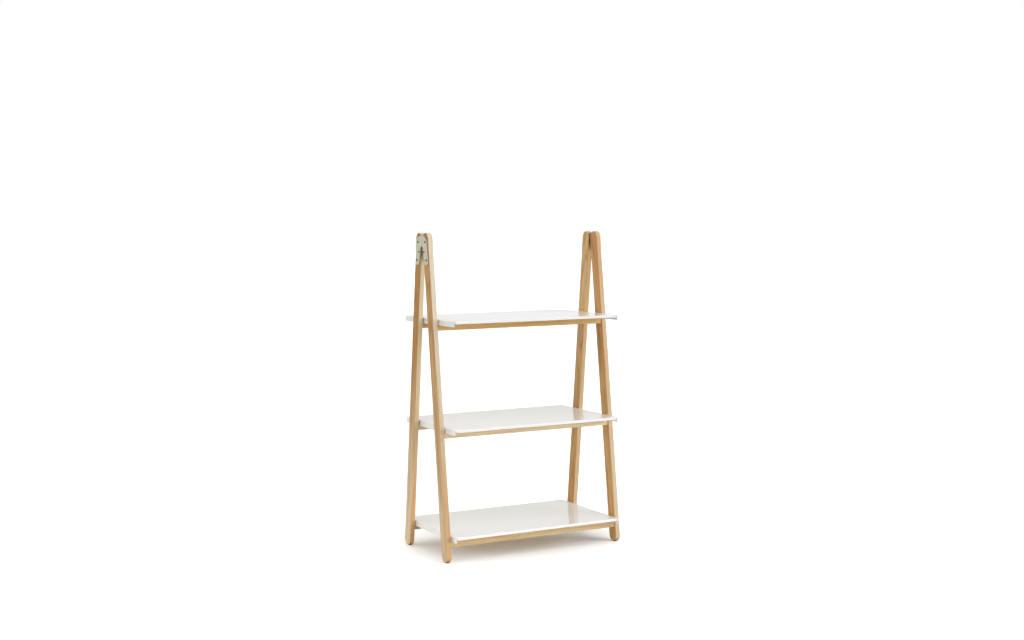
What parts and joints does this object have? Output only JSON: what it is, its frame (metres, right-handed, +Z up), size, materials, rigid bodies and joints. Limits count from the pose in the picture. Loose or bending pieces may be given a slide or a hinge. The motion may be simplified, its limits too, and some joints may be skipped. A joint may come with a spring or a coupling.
{
  "type": "bookcase",
  "caption": "Open bookcase of two wooden ladder frames that lean together, with folded white metal shelves wider than the frames and a metal horseshoe plate at the top of each side.",
  "frame": {"origin": "on the floor, under the middle of the bookcase", "axes": "+X to the right as seen from the front, -Y to the front, +Z up"},
  "size_m": [0.7934, 0.454, 1.27],
  "materials": {
    "ash": "clear satin lacquer",
    "beech": "raw",
    "white_enamel": "white gloss powder coat on steel sheet",
    "zinc": "zinc plated, satin",
    "dark_steel": "black oxide",
    "bright_steel": "bright zinc plated",
    "black_plastic": "moulded matt"
  },
  "bodies": {
    "root": {"front_left_leg": "ash", "front_left_glide": "black_plastic", "front_left_dowels": "beech", "front_right_leg": "ash", "front_right_glide": "black_plastic", "front_right_dowels": "beech", "back_left_leg": "ash", "back_left_glide": "black_plastic", "back_left_dowels": "beech", "back_right_leg": "ash", "back_right_glide": "black_plastic", "back_right_dowels": "beech", "front_lower_rail": "ash", "front_middle_rail": "ash", "front_upper_rail": "ash", "back_lower_rail": "ash", "back_middle_rail": "ash", "back_upper_rail": "ash", "lower_shelf": "white_enamel", "lower_shelf_bolts": "bright_steel", "lower_weld_nuts": "bright_steel", "middle_shelf": "white_enamel", "middle_shelf_bolts": "bright_steel", "middle_weld_nuts": "bright_steel", "upper_shelf": "white_enamel", "upper_shelf_bolts": "bright_steel", "upper_weld_nuts": "bright_steel", "left_joining_plate": "zinc", "left_plate_screws": "dark_steel", "right_joining_plate": "zinc", "right_plate_screws": "dark_steel"}
  },
  "joints": []
}
